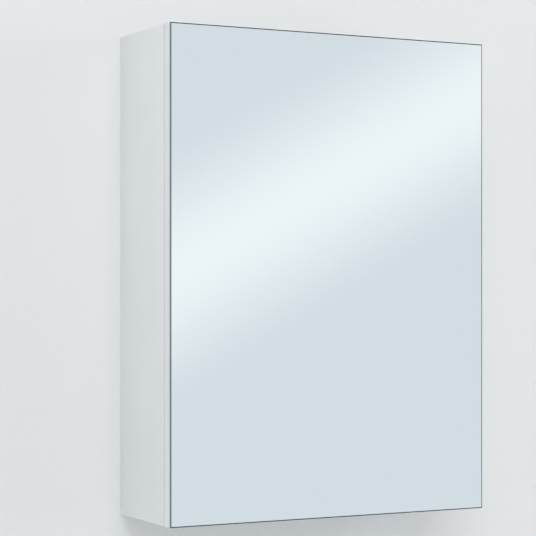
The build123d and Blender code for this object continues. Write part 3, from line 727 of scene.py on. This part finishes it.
class CABINET_OT_hanging(bpy.types.Operator):
    """Wall rail and the two adjustable hangers"""

    bl_idname = "cabinet.hanging"
    bl_label = "Hanging"

    def execute(self, context):
        for hand in ("left", "right"):
            soften(f"hanger_cover_{hand}", f"hanger_cap_{hand}", CAP_ROUND, CAP_SHORTEST)
            dress(f"hanger_housing_{hand}", f"hanger_hook_{hand}")
        dress("wall_rail", "hanger_depth_screws", "hanger_height_screws")
        return {"FINISHED"}


class CABINET_OT_hinges(bpy.types.Operator):
    """Concealed hinges with plated arms, plates, caps, links and cups"""

    bl_idname = "cabinet.hinges"
    bl_label = "Hinges"

    def execute(self, context):
        radius = context.scene.cabinet_metal.edge
        for level in ("upper", "lower"):
            for part in ("mounting_plate", "hinge_arm", "cover_cap"):
                soften(f"{level}_{part}", f"{level}_{part}_plated", radius, METAL_SHORTEST)
            dress(
                f"{level}_hinge_cup",
                f"{level}_outer_link",
                f"{level}_inner_link",
                f"{level}_inner_link_pins",
                f"{level}_hinge_spring",
            )
        dress(
            "hinge_arm_pins",
            "hinge_cup_pins",
            "plate_screws",
            "arm_fixing_screws",
            "side_adjusting_screws",
            "cup_screws",
        )
        return {"FINISHED"}


class CABINET_OT_stage(bpy.types.Operator):
    """Plain wall, plain floor, soft lights, the room that the mirror shows, and the camera"""

    bl_idname = "cabinet.stage"
    bl_label = "Stage"

    def execute(self, context):
        self.wall_and_floor(context.scene.cabinet_stage)
        self.lights(context.scene.cabinet_stage)
        self.room(context)
        self.camera(context)
        return {"FINISHED"}

    def paint(self, name, colour, even=False):
        """A matt paint seen from its front only, so that it hides nothing; an even one hides its shading."""
        material, tree = blank(name)
        face = add(tree, "ShaderNodeNewGeometry")
        coat = add(tree, "ShaderNodeBsdfDiffuse", {"Color": (*colour, 1)}).outputs["BSDF"]
        if even:
            path = add(tree, "ShaderNodeLightPath")
            glow = add(tree, "ShaderNodeEmission", {"Color": (*colour, 1), "Strength": 1.0})
            shown = add(tree, "ShaderNodeMixShader", {"Fac": path.outputs["Is Camera Ray"]})
            tree.links.new(coat, shown.inputs[1])
            tree.links.new(glow.outputs["Emission"], shown.inputs[2])
            coat = shown.outputs["Shader"]
        clear = add(tree, "ShaderNodeBsdfTransparent")
        both = add(tree, "ShaderNodeMixShader", {"Fac": face.outputs["Backfacing"]})
        tree.links.new(coat, both.inputs[1])
        tree.links.new(clear.outputs["BSDF"], both.inputs[2])
        show(tree, both.outputs["Shader"])
        return material

    def wall_and_floor(self, looks):
        """A wall that is open only behind the cabinet, where its rear must be lit, and a floor."""
        wall = bmesh.new()
        depth_turn = Matrix.Rotation(radians(90), 3, "X")
        lap = Vector((WALL_LAP, 0, WALL_LAP))
        low_corner = Vector((CAD_BOX[0][0], 0, CAD_BOX[0][2]))
        high_corner = Vector((CAD_BOX[1][0], 0, CAD_BOX[1][2]))
        for low, high in (
            (Vector((-WALL_HALF, 0, FLOOR_LEVEL)), Vector((WALL_HALF, 0, WALL_TOP))),
            (low_corner + lap, high_corner - lap),
        ):
            grid = bmesh.ops.create_grid(wall, x_segments=1, y_segments=1, size=0.5)["verts"]
            bmesh.ops.rotate(wall, matrix=depth_turn, verts=grid)
            bmesh.ops.scale(wall, vec=(high.x - low.x, 1, high.z - low.z), verts=grid)
            bmesh.ops.translate(wall, vec=(low + high) / 2, verts=grid)
        bmesh.ops.delete(wall, geom=list(wall.faces), context="FACES_ONLY")
        bmesh.ops.bridge_loops(wall, edges=wall.edges)
        bmesh.ops.translate(wall, vec=(0, WALL_BEHIND, 0), verts=wall.verts)
        wall.normal_update()
        for face in wall.faces:
            if face.normal.y > 0:
                face.normal_flip()
        floor = bmesh.new()
        bmesh.ops.create_grid(floor, x_segments=1, y_segments=1, size=FLOOR_HALF)
        bmesh.ops.translate(floor, vec=(0, 0, FLOOR_LEVEL), verts=floor.verts)
        for shape, name, coat in (
            (wall, "wall", self.paint("matt wall paint", looks.wall)),
            (floor, "floor", self.paint("matt floor paint", looks.floor, even=True)),
        ):
            mesh = bpy.data.meshes.new(name)
            shape.to_mesh(mesh)
            shape.free()
            mesh.materials.append(coat)
            plane = bpy.data.objects.new(name, mesh)
            bpy.context.scene.collection.objects.link(plane)
        # The mirror shows the room in place of the floor.
        plane.visible_glossy = False

    def lights(self, looks):
        """Large soft lights in front and at the sides, and one for the cabinet's rear."""
        target = Vector((0, 0, (CAD_BOX[0][2] + CAD_BOX[1][2]) / 2))
        for side, (place, size) in LIGHTS.items():
            lamp = bpy.data.lights.new(f"{side} light", "AREA")
            lamp.size = size
            lamp.energy = getattr(looks, side)
            light = bpy.data.objects.new(f"{side} light", lamp)
            light.visible_glossy = False
            light.location = place
            light.rotation_euler = (target - Vector(place)).to_track_quat("-Z", "Y").to_euler()
            bpy.context.scene.collection.objects.link(light)

    def room(self, context):
        """The world: plain white light, and for gloss a pale room with one slanting band of light."""
        looks = context.scene.cabinet_mirror
        world = bpy.data.worlds.new("pale room")
        context.scene.world = world
        world.use_nodes = True
        tree = world.node_tree
        tree.nodes.clear()
        way = add(tree, "ShaderNodeTexCoord").outputs["Generated"]
        parts = add(tree, "ShaderNodeSeparateXYZ", {"Vector": way})
        ahead = add(tree, "ShaderNodeMath", {0: parts.outputs["Y"], 1: -1.0}, operation="MULTIPLY")
        ahead = add(tree, "ShaderNodeMath", {0: ahead.outputs[0], 1: AHEAD_LEAST}, operation="MAXIMUM")
        across = add(tree, "ShaderNodeMath", {0: parts.outputs["X"], 1: ahead.outputs[0]}, operation="DIVIDE")
        rise = add(tree, "ShaderNodeMath", {0: parts.outputs["Z"], 1: ahead.outputs[0]}, operation="DIVIDE")
        line = add(
            tree,
            "ShaderNodeMath",
            {0: across.outputs[0], 1: BAND_SLOPE, 2: BAND_LEVEL},
            operation="MULTIPLY_ADD",
        )
        offset = add(tree, "ShaderNodeMath", {0: rise.outputs[0], 1: line.outputs[0]}, operation="SUBTRACT")
        offset = add(tree, "ShaderNodeMath", {0: offset.outputs[0]}, operation="ABSOLUTE")
        band = add(
            tree,
            "ShaderNodeMapRange",
            {"Value": offset.outputs[0], "From Max": BAND_FADE, "To Min": 1.0, "To Max": 0.0},
            interpolation_type="SMOOTHSTEP",
        )
        shown = add(tree, "ShaderNodeMix", {"Factor": band.outputs["Result"]}, data_type="RGBA")
        # A mix of colours keeps its two colours in sockets 6 and 7, and its result in output 2.
        shown.inputs[6].default_value = (*looks.plain, 1)
        shown.inputs[7].default_value = (*looks.bright, 1)
        path = add(tree, "ShaderNodeLightPath")
        light = add(
            tree, "ShaderNodeBackground", {"Color": (*linear("F4F6F8"), 1), "Strength": ROOM_LIGHT}
        )
        seen = add(tree, "ShaderNodeBackground", {"Color": (*linear("F1F2F2"), 1), "Strength": 1.0})
        gloss = add(tree, "ShaderNodeBackground", {"Color": shown.outputs[2], "Strength": 1.0})
        lit = add(tree, "ShaderNodeMixShader", {"Fac": path.outputs["Is Camera Ray"]})
        tree.links.new(light.outputs["Background"], lit.inputs[1])
        tree.links.new(seen.outputs["Background"], lit.inputs[2])
        whole = add(tree, "ShaderNodeMixShader", {"Fac": path.outputs["Is Glossy Ray"]})
        tree.links.new(lit.outputs["Shader"], whole.inputs[1])
        tree.links.new(gloss.outputs["Background"], whole.inputs[2])
        add(tree, "ShaderNodeOutputWorld", {"Surface": whole.outputs["Shader"]})

    def camera(self, context):
        """A level camera in front and to the left, as far off as the photograph's perspective says."""
        lens = bpy.data.cameras.new("camera")
        lens.lens = CAMERA_LENS
        lens.sensor_width = CAMERA_SENSOR
        lens.shift_x, lens.shift_y = CAMERA_SHIFT
        lens.clip_start = CAMERA_NEAREST
        camera = bpy.data.objects.new("camera", lens)
        camera.location = CAMERA_PLACE
        camera.rotation_euler = (radians(90), 0, CAMERA_TURN)
        context.scene.collection.objects.link(camera)
        context.scene.camera = camera
        context.scene.view_settings.view_transform = "Standard"


class CABINET_PT_panel(bpy.types.Panel):
    bl_idname = "CABINET_PT_panel"
    bl_label = "Mirror cabinet"
    bl_space_type = "VIEW_3D"
    bl_region_type = "UI"
    bl_category = "Cabinet"

    def draw(self, context):
        """Lists the sizes and colours, and then the operators."""
        for group in GROUPS:
            looks = getattr(context.scene, group)
            for name in looks.__annotations__:
                self.layout.prop(looks, name)
        for operator in OPERATORS:
            self.layout.operator(operator.bl_idname)


GROUPS = {
    "cabinet_mirror": CabinetMirror,
    "cabinet_boards": CabinetBoards,
    "cabinet_metal": CabinetMetal,
    "cabinet_stage": CabinetStage,
}
OPERATORS = (
    CABINET_OT_mirror,
    CABINET_OT_carcass,
    CABINET_OT_door,
    CABINET_OT_shelves,
    CABINET_OT_hanging,
    CABINET_OT_hinges,
    CABINET_OT_stage,
)


def register():
    """Adds the classes and the settings to Blender."""
    for item in (*GROUPS.values(), *OPERATORS, CABINET_PT_panel):
        bpy.utils.register_class(item)
    for name, group in GROUPS.items():
        setattr(bpy.types.Scene, name, bpy.props.PointerProperty(type=group))


def unregister():
    """Takes the settings and the classes out again."""
    for name in GROUPS:
        delattr(bpy.types.Scene, name)
    for item in (CABINET_PT_panel, *reversed(OPERATORS), *GROUPS.values()):
        bpy.utils.unregister_class(item)


def main():
    """Makes every piece and the stage."""
    register()
    for operator in OPERATORS:
        group, name = operator.bl_idname.split(".")
        getattr(getattr(bpy.ops, group), name)()


if __name__ == "__main__":
    main()
